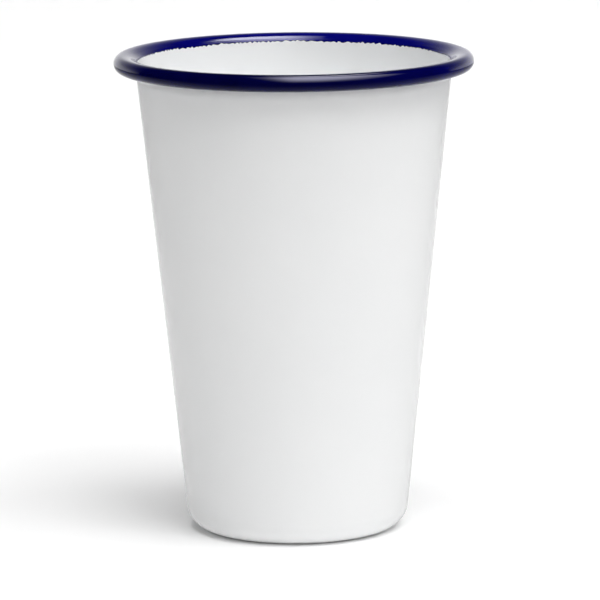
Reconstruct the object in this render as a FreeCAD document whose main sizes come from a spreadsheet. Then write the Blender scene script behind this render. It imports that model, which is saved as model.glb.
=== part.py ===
import FreeCAD, Part
import math
import os
import Sketcher

# Enamelled steel tumbler, in millimetres. +Z is up, along the axis that every piece is turned about,
# and the origin is on that axis at the surface that the tumbler stands on.
#
# One steel sheet, deep drawn into a tapered cup and rolled outwards at the mouth, carries fused coats
# of glass: a ground coat on all its faces, a white cover coat inside and outside, and blue on the roll.
# The coats meet face to face, so every surface runs parallel to the outside of the wall at some depth.

SIZES = [
    ("height", 126.0, "stand to the top of the rim"),
    ("rim_diameter", 94.3, "over the outside of the rolled rim"),
    ("wall_angle", 5.94, "lean of the wall from the axis, degrees"),
    ("stand_outside_radius", 23.03, "outer edge of the flat stand ring"),
    ("corner_radius", 6.3, "outside turn from the base into the wall"),
    ("bend_radius", 1.0, "small turn where the inside of the wall opens out into the rim"),
    ("flank_slope", 30.0, "slope of the straight above that bend, degrees"),
    ("lip_radius", 5.6, "turn from that straight to the top of the rim"),
    ("bead_diameter", 4.4, "thickness of the rolled rim"),
    ("tuck_angle", 20.0, "slope of the roll's underside towards the wall, degrees"),
    ("tuck_length", 2.7, "straight end of the sheet under the roll"),
    ("stand_inside_radius", 19.8, "inner edge of the flat stand ring"),
    ("panel_rise", 1.2, "how far the middle of the base is pushed up"),
    ("step_radius", 2.0, "both turns of the step between stand ring and middle"),
    ("step_angle", 30.0, "slope of that step, degrees"),
    ("steel", 0.4, "sheet thickness"),
    ("ground_coat", 0.08, "thickness of the ground coat"),
    ("cover_coat", 0.12, "thickness of the white and the blue enamel"),
    ("blue_reach", 1.76, "from the top of the rim down to the edge of the blue inside the mouth"),
]

# A surface of the wall is named by the layers that lie outside it: cover coats, ground coats, sheets.
OUTER_FACE = (0, 0, 0)
OUTER_COVER_TO_GROUND = (1, 0, 0)
OUTER_GROUND_TO_STEEL = (1, 1, 0)
INNER_STEEL_TO_GROUND = (1, 1, 1)
INNER_GROUND_TO_COVER = (1, 2, 1)
INNER_FACE = (2, 2, 1)

# Ends of a sketch line or arc, and the sketch's own origin and vertical axis.
START = 1
END = 2
CENTRE = 3
SKETCH_ORIGIN = (-1, 1)
SKETCH_VERTICAL = -2

doc = FreeCAD.newDocument("enamel_tumbler")


def make_sheet():
    """Put the driving dimensions in a spreadsheet, one named cell each, and return their values."""
    sheet = doc.addObject("Spreadsheet::Sheet", "Sizes")
    for row, (name, size, meaning) in enumerate(SIZES, start=1):
        sheet.set(f"A{row}", name)
        sheet.set(f"B{row}", str(size))
        sheet.set(f"C{row}", meaning)
        sheet.setAlias(f"B{row}", name)
    doc.recompute()
    return {name: float(sheet.get(name)) for name, size, meaning in SIZES}


size = make_sheet()


def depth_of(surface):
    """Depth of a surface below the outside of the wall."""
    covers, grounds, sheets = surface
    return covers * size["cover_coat"] + grounds * size["ground_coat"] + sheets * size["steel"]


def depth_formula(surface):
    """The same depth, written in the sheet's cells."""
    covers, grounds, sheets = surface
    return f"({covers} * Sizes.cover_coat + {grounds} * Sizes.ground_coat + {sheets} * Sizes.steel)"


# The roll turns the sheet over, so a surface at some depth in the wall is that much nearer to the
# enamel's outside on the roll than the inside of the wall is.
WALL = depth_of(INNER_FACE)
WALL_FORMULA = depth_formula(INNER_FACE)


def cover_of(surface):
    """Thickness over a surface where it runs over the roll."""
    return WALL - depth_of(surface)


def cover_formula(surface):
    return f"({WALL_FORMULA} - {depth_formula(surface)})"


# Directions, in degrees from the sketch's horizontal. Arcs begin and end in them.
UP = 90.0
DOWN = 270.0
TO_WALL_OUTSIDE = 360.0 - size["wall_angle"]
TO_WALL_INSIDE = 180.0 - size["wall_angle"]
TO_FLANK = UP + size["flank_slope"]
TO_TUCK = DOWN - size["tuck_angle"]


def along(direction, point):
    """How far a point lies in a direction."""
    turn = math.radians(direction)
    return point[0] * math.cos(turn) + point[1] * math.sin(turn)


def crossing(first, first_reach, second, second_reach):
    """The point that lies that far in each of two directions."""
    one = math.radians(first)
    two = math.radians(second)
    turn = math.sin(two - one)
    return (
        (first_reach * math.sin(two) - second_reach * math.sin(one)) / turn,
        (second_reach * math.cos(one) - first_reach * math.cos(two)) / turn,
    )


def point_on(centre, radius, angle):
    """Point of a circle in a given direction from its centre."""
    turn = math.radians(angle)
    return (centre[0] + radius * math.cos(turn), centre[1] + radius * math.sin(turn))


# Centres of the section's arcs, as (radius from the axis, height). They place the sketches' first
# lines: the constraints, bound to the sheet, are what holds the shapes.
STEP = math.radians(size["step_angle"])
BEAD_RADIUS = size["bead_diameter"] / 2
ROLL_RADIUS = (size["rim_diameter"] - size["bead_diameter"]) / 2
LIP_CENTRE = (ROLL_RADIUS, size["height"] - size["lip_radius"])
BEAD_CENTRE = (ROLL_RADIUS, size["height"] - BEAD_RADIUS)
CORNER_CENTRE = (size["stand_outside_radius"], size["corner_radius"])
WALL_REACH = along(TO_WALL_OUTSIDE, CORNER_CENTRE) + size["corner_radius"]
BEND_CENTRE = crossing(
    TO_WALL_OUTSIDE, WALL_REACH - WALL + size["bend_radius"],
    TO_FLANK, along(TO_FLANK, LIP_CENTRE) + size["lip_radius"] - size["bend_radius"],
)
STEP_SLOPE = (size["panel_rise"] - 2 * size["step_radius"] * (1 - math.cos(STEP))) / math.sin(STEP)
STEP_WIDTH = STEP_SLOPE * math.cos(STEP) + 2 * size["step_radius"] * math.sin(STEP)
TOE_CENTRE = (size["stand_inside_radius"], size["step_radius"])
KNEE_CENTRE = (TOE_CENTRE[0] - STEP_WIDTH, size["panel_rise"] - size["step_radius"])

# Direction from the bend's centre to where the blue enamel stops inside the mouth.
BLUE_EDGE_HEIGHT = size["height"] - size["blue_reach"]
BLUE_EDGE = 180 - math.degrees(math.asin((BLUE_EDGE_HEIGHT - BEND_CENTRE[1]) / size["bend_radius"]))


def on_bend(surface, angle):
    """Point of a surface's bend, where the wall opens out into the rim."""
    return point_on(BEND_CENTRE, size["bend_radius"] - cover_of(surface), angle)


def top_of(surface):
    """Top of a surface on the rim."""
    return point_on(LIP_CENTRE, size["lip_radius"] - cover_of(surface), UP)


def along_tuck(surface, length):
    """Point on the straight end of a surface under the roll, a length in from the bead."""
    first = point_on(BEAD_CENTRE, BEAD_RADIUS - cover_of(surface), TO_TUCK)
    turn = math.radians(size["tuck_angle"])
    return (first[0] - length * math.cos(turn), first[1] + length * math.sin(turn))


def tuck_meets_wall(tuck_surface, wall_surface):
    """Point where the straight under the roll runs into the outside of the wall."""
    reach = along(TO_TUCK, BEAD_CENTRE) + BEAD_RADIUS - cover_of(tuck_surface)
    return crossing(TO_TUCK, reach, TO_WALL_OUTSIDE, WALL_REACH - depth_of(wall_surface))


class Section:
    """Half section of one layer, in a sketch whose X is the radius and whose Y is the height."""

    def __init__(self, label):
        self.label = label
        self.body = doc.addObject("PartDesign::Body", label)
        self.body.Label = label
        self.sketch = self.body.newObject("Sketcher::SketchObject", label + "_section")
        upright = [plane for plane in self.body.Origin.OriginFeatures if plane.Role == "XZ_Plane"][0]
        self.sketch.AttachmentSupport = [(upright, "")]
        self.sketch.MapMode = "FlatFace"

    def line(self, start, end, guide=False):
        """A line. A guide isn't part of the outline, and only holds other lines in place."""
        segment = Part.LineSegment(FreeCAD.Vector(*start, 0), FreeCAD.Vector(*end, 0))
        return self.sketch.addGeometry(segment, guide)

    def arc(self, centre, radius, first_angle, last_angle, guide=False):
        circle = Part.Circle(FreeCAD.Vector(*centre, 0), FreeCAD.Vector(0, 0, 1), radius)
        curve = Part.ArcOfCircle(circle, math.radians(first_angle), math.radians(last_angle))
        return self.sketch.addGeometry(curve, guide)

    def guide_circle(self, centre, radius):
        """A guide that is a whole circle."""
        circle = Part.Circle(FreeCAD.Vector(*centre, 0), FreeCAD.Vector(0, 0, 1), radius)
        return self.sketch.addGeometry(circle, True)

    def hold(self, kind, *where):
        self.sketch.addConstraint(Sketcher.Constraint(kind, *where))

    def join(self, first, first_end, second, second_end):
        self.hold("Coincident", first, first_end, second, second_end)

    def join_smooth(self, first, first_end, second, second_end):
        self.hold("Tangent", first, first_end, second, second_end)

    def measure(self, kind, *where, now, formula):
        """A dimension whose value comes from the sheet. 'now' is only where the solver begins."""
        place = self.sketch.addConstraint(Sketcher.Constraint(kind, *where, now))
        self.sketch.setExpression(f"Constraints[{place}]", formula)

    def radius(self, curve, now, formula):
        self.measure("Radius", curve, now=now, formula=formula)

    def slope(self, segment, now, formula):
        self.measure("Angle", segment, now=math.radians(now), formula=f"({formula}) * 1 deg")

    def out(self, geometry, point, now, formula):
        self.measure("DistanceX", *SKETCH_ORIGIN, geometry, point, now=now, formula=formula)

    def up(self, geometry, point, now, formula):
        self.measure("DistanceY", *SKETCH_ORIGIN, geometry, point, now=now, formula=formula)

    def revolve(self):
        turned = self.body.newObject("PartDesign::Revolution", self.label + "_turned")
        turned.Profile = self.sketch
        turned.ReferenceAxis = (self.sketch, ["V_Axis"])
        turned.Angle = 360
        self.body.Placement = FreeCAD.Placement()


def place_on_bead_centre(section, curve):
    section.out(curve, CENTRE, BEAD_CENTRE[0], "(Sizes.rim_diameter - Sizes.bead_diameter) / 2")
    section.up(curve, CENTRE, BEAD_CENTRE[1], "Sizes.height - Sizes.bead_diameter / 2")


def level_with_centre(section, curve, point):
    """Put an arc's end straight above or below its centre."""
    section.hold("Vertical", curve, CENTRE, curve, point)


def draw_wall(section, surface, end, guide=False):
    """A surface's corner at the foot, and its straight wall up to a free end. Returns both."""
    radius = size["corner_radius"] - depth_of(surface)
    corner = section.arc(CORNER_CENTRE, radius, DOWN, TO_WALL_OUTSIDE, guide)
    wall = section.line(point_on(CORNER_CENTRE, radius, TO_WALL_OUTSIDE), end, guide)
    section.join_smooth(corner, END, wall, START)
    section.out(corner, CENTRE, CORNER_CENTRE[0], "Sizes.stand_outside_radius")
    section.up(corner, CENTRE, CORNER_CENTRE[1], "Sizes.corner_radius")
    section.radius(corner, radius, f"Sizes.corner_radius - {depth_formula(surface)}")
    section.slope(wall, 90 - size["wall_angle"], "90 - Sizes.wall_angle")
    return corner, wall


def draw_guide_wall(section, surface, end):
    """A guide that runs where a surface's wall is."""
    corner, wall = draw_wall(section, surface, end, guide=True)
    level_with_centre(section, corner, START)
    return wall


def draw_skin(section, surface, wall_end):
    """One surface of a layer: out over the base, round its corner and up the wall.

    Returns the line that begins on the axis, and the wall, whose upper end is left free.
    """
    depth = depth_of(surface)
    below = depth_formula(surface)
    knee_radius = size["step_radius"] + depth
    toe_radius = size["step_radius"] - depth
    panel_height = size["panel_rise"] + depth

    panel = section.line((0, panel_height), point_on(KNEE_CENTRE, knee_radius, UP))
    knee = section.arc(KNEE_CENTRE, knee_radius, UP - size["step_angle"], UP)
    step = section.line(
        point_on(KNEE_CENTRE, knee_radius, UP - size["step_angle"]),
        point_on(TOE_CENTRE, toe_radius, DOWN - size["step_angle"]),
    )
    toe = section.arc(TOE_CENTRE, toe_radius, DOWN - size["step_angle"], DOWN)
    ring = section.line((TOE_CENTRE[0], depth), (CORNER_CENTRE[0], depth))
    corner, wall = draw_wall(section, surface, wall_end)

    section.join_smooth(panel, END, knee, END)
    section.join_smooth(knee, START, step, START)
    section.join_smooth(step, END, toe, START)
    section.join_smooth(toe, END, ring, START)
    section.join_smooth(ring, END, corner, START)

    section.hold("PointOnObject", panel, START, SKETCH_VERTICAL)
    section.hold("Horizontal", panel)
    section.hold("Horizontal", ring)
    section.up(panel, START, panel_height, f"Sizes.panel_rise + {below}")
    section.out(toe, CENTRE, TOE_CENTRE[0], "Sizes.stand_inside_radius")
    section.radius(knee, knee_radius, f"Sizes.step_radius + {below}")
    section.radius(toe, toe_radius, f"Sizes.step_radius - {below}")
    section.slope(step, -size["step_angle"], "-Sizes.step_angle")
    return panel, wall


def draw_bend(section, surface, first_angle, last_angle, round_with=None):
    """A surface's small turn above the wall, about the centre of another's where one is given."""
    radius = size["bend_radius"] - cover_of(surface)
    bend = section.arc(BEND_CENTRE, radius, first_angle, last_angle)
    if round_with is None:
        section.radius(bend, radius, f"Sizes.bend_radius - {cover_formula(surface)}")
    else:
        section.join(bend, CENTRE, round_with, CENTRE)
    return bend


def draw_lip(section, surface, guide=False):
    """A surface's straight flank above the bend, and its turn to the top of the rim. Returns both."""
    radius = size["lip_radius"] - cover_of(surface)
    flank = section.line(on_bend(surface, TO_FLANK), point_on(LIP_CENTRE, radius, TO_FLANK), guide)
    lip = section.arc(LIP_CENTRE, radius, UP, TO_FLANK, guide)
    section.join_smooth(flank, END, lip, END)
    section.slope(flank, size["flank_slope"], "Sizes.flank_slope")
    section.radius(lip, radius, f"Sizes.lip_radius - {cover_formula(surface)}")
    section.out(lip, CENTRE, LIP_CENTRE[0], "(Sizes.rim_diameter - Sizes.bead_diameter) / 2")
    section.up(lip, CENTRE, LIP_CENTRE[1], "Sizes.height - Sizes.lip_radius")
    level_with_centre(section, lip, START)
    return flank, lip


def draw_face(section, surface):
    """A surface from the axis, over the base and up the wall, to the top of the rim."""
    panel, wall = draw_skin(section, surface, on_bend(surface, TO_WALL_INSIDE))
    bend = draw_bend(section, surface, TO_FLANK, TO_WALL_INSIDE)
    flank, lip = draw_lip(section, surface)
    section.join_smooth(wall, END, bend, END)
    section.join_smooth(bend, START, flank, START)
    return panel, lip


def draw_tuck(section, surface, end):
    """The bead's arc from the top of the roll to its underside, and the straight that runs inwards."""
    radius = BEAD_RADIUS - cover_of(surface)
    bead = section.arc(BEAD_CENTRE, radius, TO_TUCK - 360, UP)
    tuck = section.line(along_tuck(surface, 0), end)
    section.join_smooth(bead, START, tuck, START)
    section.radius(bead, radius, f"Sizes.bead_diameter / 2 - {cover_formula(surface)}")
    section.slope(tuck, 180 - size["tuck_angle"], "180 - Sizes.tuck_angle")
    return bead, tuck


def close_on_axis(section, lower_panel, upper_panel, lower_surface, upper_surface):
    middle = section.line(
        (0, size["panel_rise"] + depth_of(lower_surface)),
        (0, size["panel_rise"] + depth_of(upper_surface)),
    )
    section.join(middle, START, lower_panel, START)
    section.join(middle, END, upper_panel, START)


def close_between(section, first, first_end, second, second_end, start, end):
    """A straight edge between the ends of two curves."""
    edge = section.line(start, end)
    section.join(edge, START, first, first_end)
    section.join(edge, END, second, second_end)
    return edge


def hold_blue_edge(section, face, face_end, under, under_end):
    """The edge between blue and white, square to the bend, at the height that the blue reaches."""
    edge = close_between(
        section, face, face_end, under, under_end, on_bend(INNER_FACE, BLUE_EDGE),
        on_bend(INNER_GROUND_TO_COVER, BLUE_EDGE),
    )
    section.hold("PointOnObject", face, CENTRE, edge)
    section.up(edge, START, BLUE_EDGE_HEIGHT, "Sizes.height - Sizes.blue_reach")


def make_steel_body():
    """The deep-drawn cup: one sheet from the base to the cut edge tucked in under the roll."""
    section = Section("steel_body")
    outside, inside = OUTER_GROUND_TO_STEEL, INNER_STEEL_TO_GROUND
    outer_panel, outer_lip = draw_face(section, outside)
    inner_panel, inner_lip = draw_face(section, inside)
    close_on_axis(section, outer_panel, inner_panel, outside, inside)

    under_edge = along_tuck(inside, size["tuck_length"])
    over_edge = along_tuck(outside, size["tuck_length"])
    inner_bead, inner_tuck = draw_tuck(section, inside, under_edge)
    outer_bead, outer_tuck = draw_tuck(section, outside, over_edge)
    section.join_smooth(inner_bead, END, inner_lip, START)
    section.join_smooth(outer_bead, END, outer_lip, START)

    cut_edge = close_between(section, inner_tuck, END, outer_tuck, END, under_edge, over_edge)
    section.hold("Perpendicular", cut_edge, inner_tuck)
    section.measure("Distance", inner_tuck, now=size["tuck_length"], formula="Sizes.tuck_length")
    section.revolve()


def make_outer_ground_coat():
    """Ground coat under the white outside, and round the bead, sealing the gap at the cut edge."""
    section = Section("outer_ground_coat")
    outside, inside = OUTER_COVER_TO_GROUND, OUTER_GROUND_TO_STEEL
    crevice = tuck_meets_wall(INNER_GROUND_TO_COVER, outside)
    bridge_end = tuck_meets_wall(OUTER_GROUND_TO_STEEL, inside)
    outer_panel, outer_wall = draw_skin(section, outside, crevice)
    inner_panel, inner_wall = draw_skin(section, inside, bridge_end)
    close_on_axis(section, outer_panel, inner_panel, outside, inside)

    under_edge = along_tuck(INNER_STEEL_TO_GROUND, size["tuck_length"])
    over_edge = along_tuck(OUTER_GROUND_TO_STEEL, size["tuck_length"])
    outer_bead, outer_tuck = draw_tuck(section, INNER_GROUND_TO_COVER, crevice)
    inner_bead, inner_tuck = draw_tuck(section, INNER_STEEL_TO_GROUND, under_edge)
    place_on_bead_centre(section, outer_bead)
    section.join(inner_bead, CENTRE, outer_bead, CENTRE)
    level_with_centre(section, outer_bead, END)
    level_with_centre(section, inner_bead, END)
    close_between(
        section, outer_bead, END, inner_bead, END, top_of(INNER_GROUND_TO_COVER),
        top_of(INNER_STEEL_TO_GROUND),
    )
    section.join(outer_tuck, END, outer_wall, END)

    section.measure("Distance", inner_tuck, now=size["tuck_length"], formula="Sizes.tuck_length")
    cut_edge = section.line(under_edge, over_edge)
    section.join(cut_edge, START, inner_tuck, END)
    section.hold("Perpendicular", cut_edge, inner_tuck)
    section.measure("Distance", cut_edge, now=size["steel"], formula="Sizes.steel")
    bridge = close_between(section, cut_edge, END, inner_wall, END, over_edge, bridge_end)
    section.hold("Parallel", bridge, inner_tuck)
    section.revolve()


def make_inner_ground_coat():
    """Ground coat under the white inside, up to the top of the roll."""
    section = Section("inner_ground_coat")
    outside, inside = INNER_STEEL_TO_GROUND, INNER_GROUND_TO_COVER
    outer_panel, outer_lip = draw_face(section, outside)
    inner_panel, inner_lip = draw_face(section, inside)
    close_on_axis(section, outer_panel, inner_panel, outside, inside)
    close_between(section, outer_lip, START, inner_lip, START, top_of(outside), top_of(inside))
    section.revolve()


def make_outer_white_enamel():
    """White cover coat outside, from under the base to the crevice below the roll."""
    section = Section("outer_white_enamel")
    outside, inside = OUTER_FACE, OUTER_COVER_TO_GROUND
    outer_crevice = tuck_meets_wall(INNER_FACE, outside)
    inner_crevice = tuck_meets_wall(INNER_FACE, inside)
    outer_panel, outer_wall = draw_skin(section, outside, outer_crevice)
    inner_panel, inner_wall = draw_skin(section, inside, inner_crevice)
    close_on_axis(section, outer_panel, inner_panel, outside, inside)

    roll = section.guide_circle(BEAD_CENTRE, BEAD_RADIUS)
    place_on_bead_centre(section, roll)
    section.radius(roll, BEAD_RADIUS, "Sizes.bead_diameter / 2")
    top_edge = close_between(
        section, outer_wall, END, inner_wall, END, outer_crevice, inner_crevice
    )
    section.slope(top_edge, 180 - size["tuck_angle"], "180 - Sizes.tuck_angle")
    section.hold("Tangent", top_edge, roll)
    section.revolve()


def make_inner_white_enamel():
    """White cover coat inside, from the middle of the base to the blue edge on the bend."""
    section = Section("inner_white_enamel")
    outside, inside = INNER_GROUND_TO_COVER, INNER_FACE
    outer_panel, outer_wall = draw_skin(section, outside, on_bend(outside, TO_WALL_INSIDE))
    inner_panel, inner_wall = draw_skin(section, inside, on_bend(inside, TO_WALL_INSIDE))
    close_on_axis(section, outer_panel, inner_panel, outside, inside)

    inner_bend = draw_bend(section, inside, BLUE_EDGE, TO_WALL_INSIDE)
    outer_bend = draw_bend(section, outside, BLUE_EDGE, TO_WALL_INSIDE, round_with=inner_bend)
    section.join_smooth(inner_wall, END, inner_bend, END)
    section.join_smooth(outer_wall, END, outer_bend, END)
    guide_flank, guide_lip = draw_lip(section, inside, guide=True)
    section.hold("Tangent", guide_flank, START, inner_bend)
    hold_blue_edge(section, inner_bend, START, outer_bend, START)
    section.revolve()


def make_blue_rim_enamel():
    """Blue enamel round the roll, from the crevice under it to a little way inside the mouth."""
    section = Section("blue_rim_enamel")
    top, under = INNER_FACE, INNER_GROUND_TO_COVER
    root = OUTER_COVER_TO_GROUND
    top_crevice = tuck_meets_wall(top, root)
    under_crevice = tuck_meets_wall(under, root)
    top_bead, top_tuck = draw_tuck(section, top, top_crevice)
    under_bead, under_tuck = draw_tuck(section, under, under_crevice)
    top_flank, top_lip = draw_lip(section, top)
    under_flank, under_lip = draw_lip(section, under)
    section.join_smooth(top_bead, END, top_lip, START)
    section.join_smooth(under_bead, END, under_lip, START)

    top_bend = draw_bend(section, top, TO_FLANK, BLUE_EDGE)
    under_bend = draw_bend(section, under, TO_FLANK, BLUE_EDGE, round_with=top_bend)
    section.join_smooth(top_bend, START, top_flank, START)
    section.join_smooth(under_bend, START, under_flank, START)
    inside_wall = draw_guide_wall(section, top, on_bend(top, TO_WALL_INSIDE))
    section.hold("Tangent", inside_wall, END, top_bend)
    hold_blue_edge(section, top_bend, END, under_bend, END)

    outside_wall = draw_guide_wall(section, root, top_crevice)
    section.join(outside_wall, END, top_tuck, END)
    root_end = close_between(
        section, under_tuck, END, top_tuck, END, under_crevice, top_crevice
    )
    section.hold("Parallel", root_end, outside_wall)
    section.revolve()


def check(thing):
    """Stop if an object failed, or if a sketch can still move."""
    if "Invalid" in thing.State or "Error" in thing.State:
        raise RuntimeError(f"{thing.Label} failed: {thing.State}")
    if thing.TypeId == "Sketcher::SketchObject" and not thing.FullyConstrained:
        raise RuntimeError(f"{thing.Label} is not fully constrained")


def export(body):
    shape = body.Shape
    if shape.isNull() or not shape.isValid() or len(shape.Solids) != 1:
        raise RuntimeError(f"{body.Label} is not one valid solid")
    shape.exportStep(os.path.join("parts", body.Label + ".step"))
    print(f"{body.Label}: {shape.Volume:.1f} mm3, z {shape.BoundBox.ZMin:.2f} to {shape.BoundBox.ZMax:.2f}")


make_steel_body()
make_outer_ground_coat()
make_inner_ground_coat()
make_outer_white_enamel()
make_inner_white_enamel()
make_blue_rim_enamel()
doc.recompute()

for thing in doc.Objects:
    check(thing)
os.makedirs("parts", exist_ok=True)
for thing in doc.Objects:
    if thing.TypeId == "PartDesign::Body":
        export(thing)
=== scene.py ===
"""Looks of the enamel tumbler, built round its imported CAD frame. Units are metres, +Z is up."""

import math
import random

import bmesh
import bpy
from mathutils import Matrix, Vector


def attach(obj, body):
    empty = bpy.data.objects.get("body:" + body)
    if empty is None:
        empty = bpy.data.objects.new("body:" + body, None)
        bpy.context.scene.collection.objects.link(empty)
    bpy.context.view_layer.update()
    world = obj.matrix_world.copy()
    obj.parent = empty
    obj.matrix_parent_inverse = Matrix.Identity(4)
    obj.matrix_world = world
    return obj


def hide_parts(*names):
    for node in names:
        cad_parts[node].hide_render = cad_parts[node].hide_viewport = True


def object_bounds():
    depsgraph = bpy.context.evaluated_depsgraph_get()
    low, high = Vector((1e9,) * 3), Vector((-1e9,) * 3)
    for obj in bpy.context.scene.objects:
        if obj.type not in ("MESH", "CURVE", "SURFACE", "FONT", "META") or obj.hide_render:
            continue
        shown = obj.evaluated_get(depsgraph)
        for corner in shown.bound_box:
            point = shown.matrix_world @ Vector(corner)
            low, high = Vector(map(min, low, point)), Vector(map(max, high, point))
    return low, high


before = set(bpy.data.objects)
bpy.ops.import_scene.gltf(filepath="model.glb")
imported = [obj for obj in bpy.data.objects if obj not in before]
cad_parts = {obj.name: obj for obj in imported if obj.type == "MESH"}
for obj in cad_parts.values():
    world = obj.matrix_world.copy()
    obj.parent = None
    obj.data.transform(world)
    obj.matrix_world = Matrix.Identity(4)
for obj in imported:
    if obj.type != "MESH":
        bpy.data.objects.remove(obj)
CAD_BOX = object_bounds()

MM = 0.001

# The tumbler's section, as (radius, height). It repeats the CAD's dimensions; height and rim come
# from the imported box. A surface is named by its depth below the outside of the wall.
HEIGHT = CAD_BOX[1].z
RIM_RADIUS = CAD_BOX[1].x
LEAN = math.radians(5.94)  # of the wall, outwards
STEP_ANGLE = math.radians(30)  # slope of the step up to the raised panel under the base
TUCK = math.radians(20)  # how far the roll goes on past its lowest point
FLANK = math.radians(120)  # direction that the sloping flank of the lip faces
CORNER_RADIUS = 6.3 * MM  # outside corner between base and wall
BASE_RADIUS = 23.03 * MM  # where the base runs into that corner
BEND_RADIUS = 1.0 * MM  # inside bend from the wall into the lip
LIP_RADIUS = 5.6 * MM  # from the flank of the lip to the top of the rim
BEAD_RADIUS = 2.2 * MM  # the roll
STAND_INSIDE = 19.8 * MM  # inner edge of the stand ring
PANEL_RISE = 1.2 * MM  # raised panel inside the stand ring
STEP_RADIUS = 2.0 * MM  # both roundings of its step
COVER = 0.12 * MM  # thickness of the white and the blue
GROUND_DEPTH = 0.12 * MM  # where the ground coat starts, from outside
INNER_GROUND_DEPTH = 0.68 * MM  # where the ground coat inside ends
WALL = 0.8 * MM
BLUE_REACH = 1.76 * MM  # from the top of the rim down to the CAD's edge of the blue

UP = math.radians(90)
DOWN = math.radians(270)
TO_WALL = math.radians(180) - LEAN


def along(direction, point):
    """How far a point lies in a direction given by its angle."""
    return point[0] * math.cos(direction) + point[1] * math.sin(direction)


def crossing(first, first_reach, second, second_reach):
    """The point that lies that far in two directions."""
    turn = math.sin(second - first)
    return (
        (first_reach * math.sin(second) - second_reach * math.sin(first)) / turn,
        (second_reach * math.cos(first) - first_reach * math.cos(second)) / turn,
    )


ROLL_RADIUS = RIM_RADIUS - BEAD_RADIUS
BEAD_CENTRE = (ROLL_RADIUS, HEIGHT - BEAD_RADIUS)
LIP_CENTRE = (ROLL_RADIUS, HEIGHT - LIP_RADIUS)
CORNER_CENTRE = (BASE_RADIUS, CORNER_RADIUS)
WALL_REACH = along(-LEAN, CORNER_CENTRE) + CORNER_RADIUS
BEND_CENTRE = crossing(
    -LEAN,
    WALL_REACH - WALL + BEND_RADIUS,
    FLANK,
    along(FLANK, LIP_CENTRE) + LIP_RADIUS - BEND_RADIUS,
)
STEP_SLOPE = (PANEL_RISE - 2 * STEP_RADIUS * (1 - math.cos(STEP_ANGLE))) / math.sin(STEP_ANGLE)
STEP_WIDTH = STEP_SLOPE * math.cos(STEP_ANGLE) + 2 * STEP_RADIUS * math.sin(STEP_ANGLE)
TOE_CENTRE = (STAND_INSIDE, STEP_RADIUS)
KNEE_CENTRE = (STAND_INSIDE - STEP_WIDTH, PANEL_RISE - STEP_RADIUS)
BLUE_EDGE = math.pi - math.asin((HEIGHT - BLUE_REACH - BEND_CENTRE[1]) / BEND_RADIUS)


def point_on(centre, radius, angle):
    return (centre[0] + radius * math.cos(angle), centre[1] + radius * math.sin(angle))


def arc(centre, radius, first, last, steps):
    """Points along an arc, both ends included."""
    return [point_on(centre, radius, first + (last - first) * i / steps) for i in range(steps + 1)]


def straight(start, end, steps):
    """Points along a straight line, both ends left out."""
    return [
        tuple(a + (b - a) * i / steps for a, b in zip(start, end))
        for i in range(1, steps)
    ]


def base_and_corner(depth, fine):
    """One surface of a coat from the axis over the base to the foot of the wall."""
    knee = arc(KNEE_CENTRE, STEP_RADIUS + depth, UP, UP - STEP_ANGLE, 5 * fine)
    toe = arc(TOE_CENTRE, STEP_RADIUS - depth, DOWN - STEP_ANGLE, DOWN, 5 * fine)
    corner = arc(CORNER_CENTRE, CORNER_RADIUS - depth, DOWN, 2 * math.pi - LEAN, 8 * fine)
    middle = (0.0, PANEL_RISE + depth)
    panel = [middle] + straight(middle, knee[0], 6) + knee
    return panel + toe + straight(toe[-1], corner[0], 3) + corner


def tuck_meets(depth_on_roll, wall_depth):
    """Where the underside of a coat on the roll runs into a coat of the wall."""
    under = DOWN - TUCK
    reach = along(under, BEAD_CENTRE) + BEAD_RADIUS - WALL + depth_on_roll
    return crossing(under, reach, -LEAN, WALL_REACH - wall_depth)


def lip_of(depth, steps):
    """A surface's flank and top, from the bend to the top of the rim, without its first point."""
    cover = WALL - depth
    top = arc(LIP_CENTRE, LIP_RADIUS - cover, FLANK, UP, steps)
    return straight(point_on(BEND_CENTRE, BEND_RADIUS - cover, FLANK), top[0], 4) + top


# The hand-wiped edge of the blue, in millimetres: the spacing of its swings, the least and the
# most that each one strays, the same for the slow drifts under them, with their waves round the
# mouth, and how near the end of the round the last swing may be.
SWING_GAPS = (0.4, 0.6, 0.9, 1.3)
SWING_STRAY = (0.03, 0.26)
DRIFT_STRAY = (0.04, 0.09)
DRIFT_WAVES = (3, 7, 13)
LAST_GAP = 0.8


def ragged_edge(turns, seed):
    """How far the hand-wiped edge of the blue strays from its circle, at each step round."""
    dice = random.Random(seed)
    length = 2 * math.pi * (BEND_CENTRE[0] + BEND_RADIUS * math.cos(BLUE_EDGE))
    knots = []
    place = 0.0
    side = 1
    while place < length - LAST_GAP * MM:
        knots.append((place, side * dice.uniform(*SWING_STRAY) * MM))
        place += dice.choice(SWING_GAPS) * dice.uniform(0.8, 1.2) * MM
        side = -side
    knots.append((length, knots[0][1]))
    slow = [
        (dice.uniform(*DRIFT_STRAY) * MM, waves, dice.uniform(0, 2 * math.pi))
        for waves in DRIFT_WAVES
    ]
    strays = []
    index = 0
    for i in range(turns):
        reach = length * i / turns
        while knots[index + 1][0] < reach:
            index += 1
        (start, low), (end, high) = knots[index], knots[index + 1]
        share = (reach - start) / (end - start)
        share = share * share * (3 - 2 * share)
        drift = sum(
            size * math.sin(waves * 2 * math.pi * i / turns + shift) for size, waves, shift in slow
        )
        strays.append(low + (high - low) * share + drift)
    return strays


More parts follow.
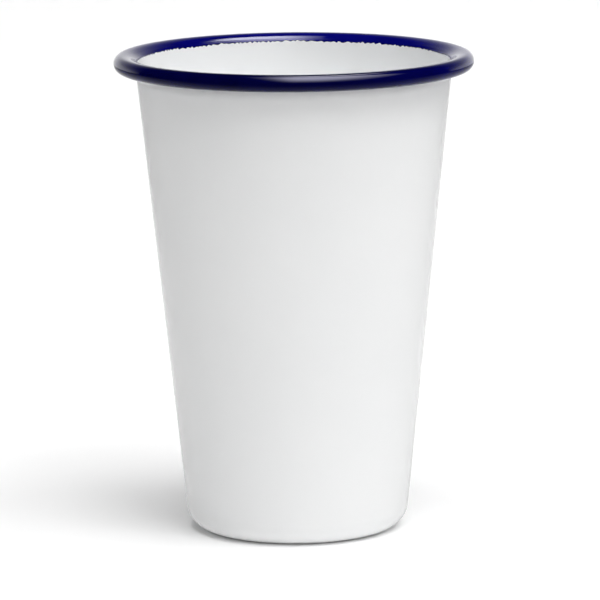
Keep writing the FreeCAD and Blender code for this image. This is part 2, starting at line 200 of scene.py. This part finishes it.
def turn_about_axis(name, sections):
    """A closed skin turned about Z, from one closed section for each step round it."""
    mesh = bmesh.new()
    turns = len(sections)
    rings = []
    poles = {}
    for i, section in enumerate(sections):
        angle = 2 * math.pi * i / turns
        ring = []
        for j, (radius, height) in enumerate(section):
            if radius < 1e-9:
                if j not in poles:
                    poles[j] = mesh.verts.new((0, 0, height))
                ring.append(poles[j])
            else:
                ring.append(mesh.verts.new((*point_on((0.0, 0.0), radius, angle), height)))
        rings.append(ring)
    count = len(sections[0])
    for i in range(turns):
        here, there = rings[i], rings[(i + 1) % turns]
        for j in range(count):
            corners = [here[j], there[j], there[(j + 1) % count], here[(j + 1) % count]]
            corners = [v for k, v in enumerate(corners) if v not in corners[:k]]
            if len(corners) > 2:
                mesh.faces.new(corners)
    bmesh.ops.recalc_face_normals(mesh, faces=mesh.faces)
    for face in mesh.faces:
        face.smooth = True
    data = bpy.data.meshes.new(name)
    mesh.to_mesh(data)
    mesh.free()
    piece = bpy.data.objects.new(name, data)
    bpy.context.scene.collection.objects.link(piece)
    return piece


# Steps round the tumbler, of a plain skin and of one with the ragged edge.
PLAIN_TURNS = 360
TURNS = 1080


def outer_white():
    outer = base_and_corner(0.0, 2)
    inner = base_and_corner(GROUND_DEPTH, 1)
    crevice = tuck_meets(WALL, 0.0)
    deep_crevice = tuck_meets(WALL, GROUND_DEPTH)
    wall = straight(outer[-1], crevice, 30) + [crevice, deep_crevice]
    return turn_about_axis("outer_white_coat", [outer + wall + inner[::-1]] * PLAIN_TURNS)


EDGE_SEED = 11
EDGE_STRAY = ragged_edge(TURNS, EDGE_SEED)
EDGE_GAP = 0.03 * MM  # half of the groove between the blue and the white
EDGE_RUN = 0.22 * MM  # how far the mean edge of the blue runs below the CAD's
WHITE_ROUND = 0.10 * MM  # length over which the white's end rounds off
WHITE_SWELL = 0.05 * MM  # height of its swell beside the edge
BLUE_ROUND = 0.09 * MM
BLUE_SWELL = 0.02 * MM
NEAR_STEP = 0.25 * MM  # spacing of the white's points below its swell

# Lengths along the inside from the CAD's edge of the blue, up to the flank and down to the wall.
UP_TO_FLANK = (BLUE_EDGE - FLANK) * BEND_RADIUS
DOWN_TO_WALL = (TO_WALL - BLUE_EDGE) * BEND_RADIUS

# A coat's swell beside its edge: distance from the edge and lift, as shares of roundness and swell.
SWELL_PROFILE = ((4.0, 0.0), (3.0, 0.3), (2.2, 0.75), (1.5, 1.0), (1.0, 1.0))
SWELL_RUN = SWELL_PROFILE[0][0]
END_DROP = 0.98  # share of its thickness through which a coat's end rounds off


def on_inside(place, depth):
    """Point of the inside of the mouth, a signed length along it from the CAD's edge of the blue.

    Lengths are positive down into the tumbler. depth is measured in from the inner face.
    """
    if place > DOWN_TO_WALL:
        first = point_on(BEND_CENTRE, BEND_RADIUS - depth, TO_WALL)
        length = place - DOWN_TO_WALL
        return (first[0] - length * math.sin(LEAN), first[1] - length * math.cos(LEAN))
    if place < -UP_TO_FLANK:
        first = point_on(BEND_CENTRE, BEND_RADIUS - depth, FLANK)
        length = -place - UP_TO_FLANK
        return (first[0] + length * math.sin(FLANK), first[1] - length * math.cos(FLANK))
    return point_on(BEND_CENTRE, BEND_RADIUS - depth, BLUE_EDGE + place / BEND_RADIUS)


def coat_end(edge, towards, roundness, swell):
    """Section points where a coat inside the mouth ends: it swells a little, then rounds off.

    edge is the place where the coat stops. towards is +1 for the coat below the edge, -1 above it.
    """
    points = [(edge + towards * back * roundness, -swell * lift) for back, lift in SWELL_PROFILE]
    for step in range(1, 7):
        turn = math.radians(15 * step)
        back = roundness * (1 - math.sin(turn))
        depth = COVER * END_DROP * (1 - math.cos(turn)) - swell * math.cos(turn)
        points.append((edge + towards * back, depth))
    return [on_inside(place, depth) for place, depth in points]


def inner_white():
    body = base_and_corner(WALL, 2)
    hidden = base_and_corner(INNER_GROUND_DEPTH, 1)
    sections = []
    for stray in EDGE_STRAY:
        edge = stray + EDGE_RUN + EDGE_GAP
        end = coat_end(edge, 1, WHITE_ROUND, WHITE_SWELL)
        foot = edge + SWELL_RUN * WHITE_ROUND
        near = [on_inside(foot + k * NEAR_STEP, 0.0) for k in range(6, 0, -1)]
        far = on_inside(foot + 7 * NEAR_STEP, 0.0)
        wall = straight(body[-1], far, 24) + [far]
        sections.append(body + wall + near + end + [on_inside(edge, COVER)] + hidden[::-1])
    return turn_about_axis("inner_white_coat", sections)


def blue_rim():
    bead = arc(BEAD_CENTRE, BEAD_RADIUS, UP, -UP - TUCK, 34)
    crevice = tuck_meets(WALL, GROUND_DEPTH)
    deep_crevice = tuck_meets(INNER_GROUND_DEPTH, GROUND_DEPTH)
    deep_bead = arc(BEAD_CENTRE, BEAD_RADIUS - COVER, -UP - TUCK, UP, 17)
    under = bead[1:] + straight(bead[-1], crevice, 4) + [crevice, deep_crevice]
    back = straight(deep_crevice, deep_bead[0], 2) + deep_bead
    sections = []
    for stray in EDGE_STRAY:
        edge = stray + EDGE_RUN - EDGE_GAP
        end = coat_end(edge, -1, BLUE_ROUND, BLUE_SWELL)
        foot = edge - SWELL_RUN * BLUE_ROUND
        bend = [on_inside(foot + (-UP_TO_FLANK - foot) * k / 6, 0.0) for k in range(1, 7)]
        deep_bend = [
            on_inside(-UP_TO_FLANK + (edge + UP_TO_FLANK) * k / 4, COVER) for k in range(5)
        ]
        deep_lip = lip_of(INNER_GROUND_DEPTH, 6)[::-1][1:]
        sections.append(end[::-1] + bend + lip_of(WALL, 14) + under + back + deep_lip + deep_bend)
    return turn_about_axis("blue_rim_coat", sections)


# Marks of the three pins that it was fired on: their directions in degrees, the radius of their
# circle and their own.
PIN_TURNS = (30, 150, 270)
PIN_RING = 11.0 * MM
PIN_MARK = 0.6 * MM


class Nodes:
    """Small helper for a material's node tree."""

    def __init__(self, name):
        self.material = bpy.data.materials.new(name)
        self.material.use_nodes = True
        self.tree = self.material.node_tree
        self.tree.nodes.clear()
        self.shader = self.add("ShaderNodeBsdfPrincipled")
        output = self.add("ShaderNodeOutputMaterial")
        self.link(self.shader.outputs["BSDF"], output.inputs["Surface"])
        self.place = self.add("ShaderNodeTexCoord").outputs["Object"]

    def add(self, kind, **settings):
        node = self.tree.nodes.new(kind)
        for key, value in settings.items():
            setattr(node, key, value)
        return node

    def link(self, source, target):
        self.tree.links.new(source, target)

    def set(self, **values):
        for key, value in values.items():
            self.shader.inputs[key.replace("_", " ")].default_value = value

    def noise(self, scale, detail=2.0, roughness=0.5):
        node = self.add("ShaderNodeTexNoise")
        self.link(self.place, node.inputs["Vector"])
        node.inputs["Scale"].default_value = scale
        node.inputs["Detail"].default_value = detail
        node.inputs["Roughness"].default_value = roughness
        return node.outputs["Fac"]

    def spread(self, value, low, high, start=0.0, end=1.0):
        """value, with its range from start to end stretched to run from low to high."""
        node = self.add("ShaderNodeMapRange")
        self.link(value, node.inputs["Value"])
        range_ends = (("From Min", start), ("From Max", end), ("To Min", low), ("To Max", high))
        for key, number in range_ends:
            node.inputs[key].default_value = number
        return node.outputs["Result"]

    def blend(self, share, first, second):
        """Mix of two colours, each a colour or an output."""
        node = self.add("ShaderNodeMix", data_type="RGBA")
        self.link(share, node.inputs["Factor"])
        for socket, colour in ((node.inputs[6], first), (node.inputs[7], second)):
            if isinstance(colour, tuple):
                socket.default_value = (*colour, 1.0)
            else:
                self.link(colour, socket)
        return node.outputs[2]

    def bump(self, height, strength, distance, normal=None):
        node = self.add("ShaderNodeBump")
        node.inputs["Strength"].default_value = strength
        node.inputs["Distance"].default_value = distance
        self.link(height, node.inputs["Height"])
        if normal is not None:
            self.link(normal, node.inputs["Normal"])
        return node.outputs["Normal"]

    def specks(self, cell, share, low, high):
        """1 in small round specks, in about one cell in 1/share, 0 elsewhere."""
        cells = self.add("ShaderNodeTexVoronoi", feature="F1", distance="EUCLIDEAN")
        self.link(self.place, cells.inputs["Vector"])
        cells.inputs["Scale"].default_value = 1 / cell
        near = self.spread(cells.outputs["Distance"], 1.0, 0.0, low / cell, high / cell)
        pick = self.add("ShaderNodeSeparateColor")
        self.link(cells.outputs["Color"], pick.inputs["Color"])
        chosen = self.add("ShaderNodeMath", operation="LESS_THAN")
        self.link(pick.outputs["Red"], chosen.inputs[0])
        chosen.inputs[1].default_value = share
        both = self.add("ShaderNodeMath", operation="MULTIPLY")
        self.link(near, both.inputs[0])
        self.link(chosen.outputs[0], both.inputs[1])
        return both.outputs[0]

    def pin_marks(self):
        """1 where the three firing pins touched the raised panel under the base, 0 elsewhere."""
        marks = None
        for turn in PIN_TURNS:
            gap = self.add("ShaderNodeVectorMath", operation="DISTANCE")
            self.link(self.place, gap.inputs[0])
            pin = point_on((0.0, 0.0), PIN_RING, math.radians(turn))
            gap.inputs[1].default_value = (*pin, PANEL_RISE)
            mark = self.spread(gap.outputs["Value"], 1.0, 0.0, 0.5 * PIN_MARK, PIN_MARK)
            if marks is not None:
                both = self.add("ShaderNodeMath", operation="MAXIMUM")
                self.link(marks, both.inputs[0])
                self.link(mark, both.inputs[1])
                mark = both.outputs[0]
            marks = mark
        return marks


def white_enamel():
    nodes = Nodes("white_vitreous_enamel")
    cloud = nodes.noise(28, 3)
    share = nodes.spread(cloud, 0, 1, 0.35, 0.65)
    colour = nodes.blend(share, (0.925, 0.932, 0.935), (0.94, 0.945, 0.947))
    speck = nodes.specks(9 * MM, 0.10, 0.08 * MM, 0.22 * MM)
    colour = nodes.blend(speck, colour, (0.20, 0.20, 0.22))
    pins = nodes.pin_marks()
    colour = nodes.blend(pins, colour, (0.05, 0.05, 0.06))
    nodes.link(colour, nodes.shader.inputs["Base Color"])
    roughness = nodes.spread(nodes.noise(60, 4), 0.05, 0.11, 0.3, 0.7)
    nodes.link(roughness, nodes.shader.inputs["Roughness"])
    peel = nodes.bump(nodes.noise(330, 2), 0.25, 0.02 * MM)
    wave = nodes.bump(nodes.noise(45, 1), 0.3, 0.08 * MM, peel)
    pit = nodes.bump(nodes.spread(speck, 1, 0), 0.5, 0.05 * MM, wave)
    scar = nodes.bump(nodes.spread(pins, 1, 0), 0.8, 0.1 * MM, pit)
    nodes.link(scar, nodes.shader.inputs["Normal"])
    nodes.set(IOR=1.52)
    return nodes.material


# Direction, seen from above, towards which the blue is painted lighter: painted light on the back
# and right of the rim, painted shade on its front and left.
LIT_SIDE = (0.3, 0.95, 0.0)


def blue_enamel():
    nodes = Nodes("blue_vitreous_enamel")
    cloud = nodes.spread(nodes.noise(90, 4), 0, 1, 0.35, 0.65)
    # The cloud is the blue's own uneven tone. Over it the blue is painted dark on the front and
    # left and light on the back and right: painted shade and painted light.
    shaded_blue = nodes.blend(cloud, (0.0005, 0.0006, 0.024), (0.0009, 0.0010, 0.034))
    lit_blue = nodes.blend(cloud, (0.0012, 0.0013, 0.12), (0.0018, 0.0020, 0.15))
    side = nodes.add("ShaderNodeVectorMath", operation="DOT_PRODUCT")
    nodes.link(nodes.place, side.inputs[0])
    side.inputs[1].default_value = LIT_SIDE
    share = nodes.spread(side.outputs["Value"], 0, 1, -RIM_RADIUS, RIM_RADIUS)
    colour = nodes.blend(share, shaded_blue, lit_blue)
    nodes.link(colour, nodes.shader.inputs["Base Color"])
    roughness = nodes.spread(nodes.noise(120, 3), 0.04, 0.09, 0.3, 0.7)
    nodes.link(roughness, nodes.shader.inputs["Roughness"])
    peel = nodes.bump(nodes.noise(420, 2), 0.3, 0.02 * MM)
    wave = nodes.bump(nodes.noise(80, 1), 0.3, 0.06 * MM, peel)
    nodes.link(wave, nodes.shader.inputs["Normal"])
    nodes.set(IOR=1.5, Specular_IOR_Level=0.3, Specular_Tint=(0.85, 0.83, 1.0, 1.0))
    return nodes.material


def ground_enamel():
    nodes = Nodes("ground_coat_enamel")
    cloud = nodes.spread(nodes.noise(140, 4), 0, 1, 0.35, 0.65)
    colour = nodes.blend(cloud, (0.012, 0.014, 0.024), (0.03, 0.032, 0.05))
    nodes.link(colour, nodes.shader.inputs["Base Color"])
    roughness = nodes.spread(nodes.noise(200, 3), 0.12, 0.25, 0.3, 0.7)
    nodes.link(roughness, nodes.shader.inputs["Roughness"])
    nodes.link(nodes.bump(nodes.noise(600, 3), 0.4, 0.02 * MM), nodes.shader.inputs["Normal"])
    nodes.set(IOR=1.52)
    return nodes.material


def sheet_steel():
    nodes = Nodes("enamelling_steel")
    colour = nodes.blend(nodes.noise(200, 5), (0.36, 0.36, 0.37), (0.48, 0.47, 0.47))
    nodes.link(colour, nodes.shader.inputs["Base Color"])
    roughness = nodes.spread(nodes.noise(900, 4), 0.35, 0.55)
    nodes.link(roughness, nodes.shader.inputs["Roughness"])
    nodes.link(nodes.bump(nodes.noise(1500, 4), 0.4, 0.01 * MM), nodes.shader.inputs["Normal"])
    nodes.set(Metallic=1.0)
    return nodes.material


def dress(piece, material):
    piece.data.materials.clear()
    piece.data.materials.append(material)


white = white_enamel()
blue = blue_enamel()
ground = ground_enamel()
steel = sheet_steel()

for piece, node, slot, material in (
    (outer_white(), "outer_white_enamel", "white_enamel", white),
    (inner_white(), "inner_white_enamel", "white_enamel", white),
    (blue_rim(), "blue_rim_enamel", "blue_enamel", blue),
):
    dress(piece, material)
    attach(piece, "root")
    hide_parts(node)

dress(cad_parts["steel_body"], steel)
dress(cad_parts["outer_ground_coat"], ground)
dress(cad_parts["inner_ground_coat"], ground)


def studio_paper():
    nodes = Nodes("studio_paper")
    colour = nodes.blend(nodes.noise(6, 3), (0.93, 0.93, 0.93), (0.94, 0.94, 0.94))
    nodes.link(colour, nodes.shader.inputs["Base Color"])
    nodes.link(nodes.bump(nodes.noise(900, 3), 0.1, 0.05 * MM), nodes.shader.inputs["Normal"])
    nodes.set(Roughness=0.7, Specular_IOR_Level=0.2)
    return nodes.material


# The paper: its front edge, half its width, where its sweep starts and bends up, and its top.
PAPER_FRONT = -3.0
PAPER_SIDE = 4.0
SWEEP_START = 2.2
SWEEP_RADIUS = 0.8
PAPER_TOP = 3.2


def make_backdrop():
    """The studio's paper: floor, sweep and wall in one. The gloss doesn't mirror it."""
    sweep = [
        (SWEEP_START + SWEEP_RADIUS * math.sin(turn), SWEEP_RADIUS - SWEEP_RADIUS * math.cos(turn))
        for turn in (math.radians(degrees) for degrees in range(0, 91, 6))
    ]
    run = [(PAPER_FRONT, 0.0)] + sweep + [(SWEEP_START + SWEEP_RADIUS, PAPER_TOP)]
    mesh = bmesh.new()
    rows = [[mesh.verts.new((x, y, z)) for x in (-PAPER_SIDE, PAPER_SIDE)] for y, z in run]
    for low, high in zip(rows, rows[1:]):
        mesh.faces.new((low[0], low[1], high[1], high[0])).smooth = True
    data = bpy.data.meshes.new("backdrop")
    mesh.to_mesh(data)
    mesh.free()
    paper = bpy.data.objects.new("backdrop", data)
    bpy.context.scene.collection.objects.link(paper)
    paper.visible_glossy = False
    dress(paper, studio_paper())


def falloff(nodes, share, stops):
    """A smooth curve through (share, level) stops, as an output."""
    ramp = nodes.add("ShaderNodeValToRGB")
    ramp.color_ramp.interpolation = "B_SPLINE"
    points = ramp.color_ramp.elements
    for place, level in stops[1:-1]:
        points.new(place)
    for point, (place, level) in zip(points, stops):
        point.position = place
        point.color = (level, level, level, 1)
    nodes.link(share, ramp.inputs["Fac"])
    return ramp.outputs["Color"]


def make_glow(name, edges, place, tilt, across_stops, upward_stops, radiance, casts_shadow=True):
    """A panel that only the gloss mirrors, graded along its edges and from the low to the high."""
    low_edge, high_edge = edges
    nodes = Nodes(name)
    nodes.tree.nodes.remove(nodes.shader)
    sides = nodes.add("ShaderNodeSeparateXYZ")
    nodes.link(nodes.add("ShaderNodeTexCoord").outputs["Generated"], sides.inputs[0])
    across = falloff(nodes, sides.outputs["X"], across_stops)
    upwards = falloff(nodes, sides.outputs["Y"], upward_stops)
    both = nodes.add("ShaderNodeMath", operation="MULTIPLY")
    nodes.link(across, both.inputs[0])
    nodes.link(upwards, both.inputs[1])
    glow = nodes.add("ShaderNodeEmission")
    strength = nodes.add("ShaderNodeMath", operation="MULTIPLY")
    nodes.link(both.outputs[0], strength.inputs[0])
    strength.inputs[1].default_value = radiance
    nodes.link(strength.outputs[0], glow.inputs["Strength"])
    output = [node for node in nodes.tree.nodes if node.type == "OUTPUT_MATERIAL"][0]
    nodes.link(glow.outputs[0], output.inputs["Surface"])
    data = bpy.data.meshes.new(name)
    count = len(low_edge)
    faces = [(i, i + 1, count + i + 1, count + i) for i in range(count - 1)]
    data.from_pydata([(x, y, 0) for x, y in low_edge + high_edge], [], faces)
    panel = bpy.data.objects.new(name, data)
    panel.location = place
    panel.rotation_euler = (tilt, 0, 0)
    panel.visible_camera = False
    panel.visible_diffuse = False
    panel.visible_shadow = casts_shadow
    bpy.context.scene.collection.objects.link(panel)
    dress(panel, nodes.material)


def rectangle(left, right, low, high):
    """The low and the high edge of a plain panel."""
    return [(left, low), (right, low)], [(left, high), (right, high)]


# How far off the lights above the tumbler are.
LIGHT_REACH = 5.0

# The softbox, in degrees: how far its middle leans towards the camera, and where its left, right,
# front and back edges are.
SOFTBOX_LEAN = 23
SOFTBOX_EDGES = (-16, 50, -52, 35)

# Its brightness from its left edge to its right, and from its front edge to its back.
SOFTBOX_ACROSS = (
    (0.0, 0.0), (0.08, 0.15), (0.15, 0.7), (0.2, 0.95), (0.3, 1.0),
    (0.47, 0.8), (0.62, 0.4), (0.85, 0.08), (1.0, 0.0),
)
SOFTBOX_UPWARDS = (
    (0.0, 0.0), (0.23, 0.12), (0.4, 0.45), (0.55, 0.8),
    (0.68, 1.0), (0.88, 1.0), (0.95, 0.7), (1.0, 0.0),
)


def make_softbox(radiance):
    """The gloss of a large soft light high on the camera's side, reaching far to the right."""
    tilt = math.radians(SOFTBOX_LEAN)
    left, right, front, back = (
        LIGHT_REACH * math.tan(math.radians(angle)) for angle in SOFTBOX_EDGES
    )
    place = (0, -LIGHT_REACH * math.sin(tilt), LIGHT_REACH * math.cos(tilt) + HEIGHT)
    edges = rectangle(left, right, front, back)
    make_glow("softbox", edges, place, tilt, SOFTBOX_ACROSS, SOFTBOX_UPWARDS, radiance)


# Brightness along the strip light, from its left end to its right.
STRIP_ALONG = ((0.0, 0.0), (0.15, 0.3), (0.35, 1.0), (0.7, 0.9), (0.85, 0.4), (1.0, 0.0))
STRIP_UPWARDS = ((0.0, 1.0), (1.0, 1.0))

# The strip's middle line, how much it bows backwards, its width each way, its left end and the step
# between its points, as shares of its distance.
STRIP_BEHIND = 0.365
STRIP_BOW = 1.8
STRIP_FRONT = 0.06
STRIP_BACK = 0.12
STRIP_LEFT = -0.12
STRIP_STEP = 0.05


def make_strip(radiance):
    """The gloss of a narrow bowed light just behind the softbox, which the lip's flank mirrors."""
    places = [STRIP_LEFT + STRIP_STEP * i for i in range(11)]
    bow = [(x, STRIP_BEHIND + STRIP_BOW * x * x) for x in places]
    low_edge = [(LIGHT_REACH * x, LIGHT_REACH * (y - STRIP_FRONT)) for x, y in bow]
    high_edge = [(LIGHT_REACH * x, LIGHT_REACH * (y + STRIP_BACK)) for x, y in bow]
    place = (0, 0, LIGHT_REACH + HEIGHT)
    make_glow("strip", (low_edge, high_edge), place, 0, STRIP_ALONG, STRIP_UPWARDS, radiance)


# Brightness of the lit background behind the tumbler, from one side to the other and upwards.
HORIZON_ACROSS = ((0.0, 0.0), (0.2, 1.0), (0.8, 1.0), (1.0, 0.0))
HORIZON_UPWARDS = ((0.0, 1.0), (0.28, 1.0), (0.42, 0.5), (0.7, 0.1), (1.0, 0.0))

# How far behind the tumbler it stands, half its width, and its low and high edge.
HORIZON_BEHIND = 2.9
HORIZON_SIDE = 6.0
HORIZON_LOW = -0.25
HORIZON_HIGH = 2.75


def make_horizon(radiance):
    """The gloss of the background, bright low down and dark above."""
    edges = rectangle(-HORIZON_SIDE, HORIZON_SIDE, HORIZON_LOW, HORIZON_HIGH)
    place = (0, HORIZON_BEHIND, 0)
    make_glow("horizon", edges, place, UP, HORIZON_ACROSS, HORIZON_UPWARDS, radiance)


# Brightness of the floor in the gloss, from side to side and from the camera's side to the back.
FLOOR_ACROSS = (
    (0.0, 0.0), (0.2, 0.15), (0.37, 0.5), (0.45, 1.0),
    (0.55, 1.0), (0.63, 0.5), (0.8, 0.15), (1.0, 0.0),
)
FLOOR_UPWARDS = ((0.0, 0.0), (0.1, 0.15), (0.17, 0.5), (0.23, 0.6), (0.38, 1.0), (1.0, 1.0))

# Half the width of that gloss, its front and back edge, and how far above the paper it floats.
FLOOR_SIDE = 1.0
FLOOR_FRONT = -0.3
FLOOR_BACK = 1.0
FLOOR_LIFT = 0.3 * MM


def make_floor_gloss(radiance):
    """The gloss of the floor, bright round the foot and behind, dark in front and at the sides."""
    edges = rectangle(-FLOOR_SIDE, FLOOR_SIDE, FLOOR_FRONT, FLOOR_BACK)
    stops = (FLOOR_ACROSS, FLOOR_UPWARDS)
    make_glow("floor_gloss", edges, (0, 0, FLOOR_LIFT), 0, *stops, radiance, casts_shadow=False)


# Soft lights that shade the object: name, azimuth from the camera's side towards the right,
# elevation, width and height, all in degrees, and radiance. Together they are the softbox and the
# pale room.
SHADING_LIGHTS = (
    ("top", -15, 80, 25, 22, 8.4),
    ("front_top", 0, 57, 25, 22, 3.2),
    ("right_front", 35, 50, 25, 22, 4.1),
    ("right_top", 65, 65, 25, 22, 5.6),
    ("right", 105, 40, 27, 24, 1.5),
    ("right_low", 35, 22, 30, 22, 0.8),
    ("room_behind", 180, 55, 35, 25, 0.7),
    ("room_left", 240, 45, 45, 40, 0.65),
)


def shading_light(name, azimuth, elevation, width, height, radiance):
    """A rectangle of even radiance far off, which the gloss doesn't mirror."""
    turn, rise = math.radians(azimuth), math.radians(elevation)
    level = math.cos(rise)
    towards = Vector((math.sin(turn) * level, -math.cos(turn) * level, math.sin(rise)))
    data = bpy.data.lights.new(name, "AREA")
    data.shape = "RECTANGLE"
    data.size = 2 * LIGHT_REACH * math.tan(math.radians(width / 2))
    data.size_y = 2 * LIGHT_REACH * math.tan(math.radians(height / 2))
    data.energy = math.pi * data.size * data.size_y * radiance
    light = bpy.data.objects.new(name, data)
    light.location = towards * LIGHT_REACH + Vector((0, 0, HEIGHT / 2))
    light.rotation_euler = (-towards).to_track_quat("-Z", "Y").to_euler()
    light.visible_camera = False
    light.visible_glossy = False
    bpy.context.scene.collection.objects.link(light)


def make_dark_world():
    """A world without light, since the lights and the panels are the whole studio."""
    world = bpy.data.worlds.new("studio_air")
    world.use_nodes = True
    world.node_tree.nodes["Background"].inputs["Strength"].default_value = 0.0
    bpy.context.scene.world = world


# The camera: where it is, what it looks at, its roll in degrees, and its lens and sensor in
# millimetres.
CAMERA_EYE = (0.0, -1.2425, 0.2816)
CAMERA_TARGET = (0.00109, 0.0, 0.06035)
CAMERA_ROLL = -0.5
CAMERA_LENS = 287.0
CAMERA_SENSOR = 36.0


def make_camera():
    """Long lens, a little above the tumbler, tipped half a degree."""
    eye = Vector(CAMERA_EYE)
    forward = (Vector(CAMERA_TARGET) - eye).normalized()
    right = forward.cross(Vector((0, 0, 1))).normalized()
    up = right.cross(forward)
    roll = Matrix.Rotation(math.radians(CAMERA_ROLL), 3, "Z")
    pose = Matrix((right, up, -forward)).transposed() @ roll
    data = bpy.data.cameras.new("studio_camera")
    data.lens = CAMERA_LENS
    data.sensor_width = CAMERA_SENSOR
    data.clip_start = 0.05
    camera = bpy.data.objects.new("studio_camera", data)
    camera.matrix_world = Matrix.Translation(eye) @ pose.to_4x4()
    bpy.context.scene.collection.objects.link(camera)
    bpy.context.scene.camera = camera


make_backdrop()
make_dark_world()
make_softbox(14.0)
make_strip(15.0)
make_horizon(1.1)
make_floor_gloss(1.0)
for light in SHADING_LIGHTS:
    shading_light(*light)
make_camera()
bpy.context.scene.view_settings.view_transform = "Standard"
bpy.context.scene.cycles.diffuse_bounces = 12
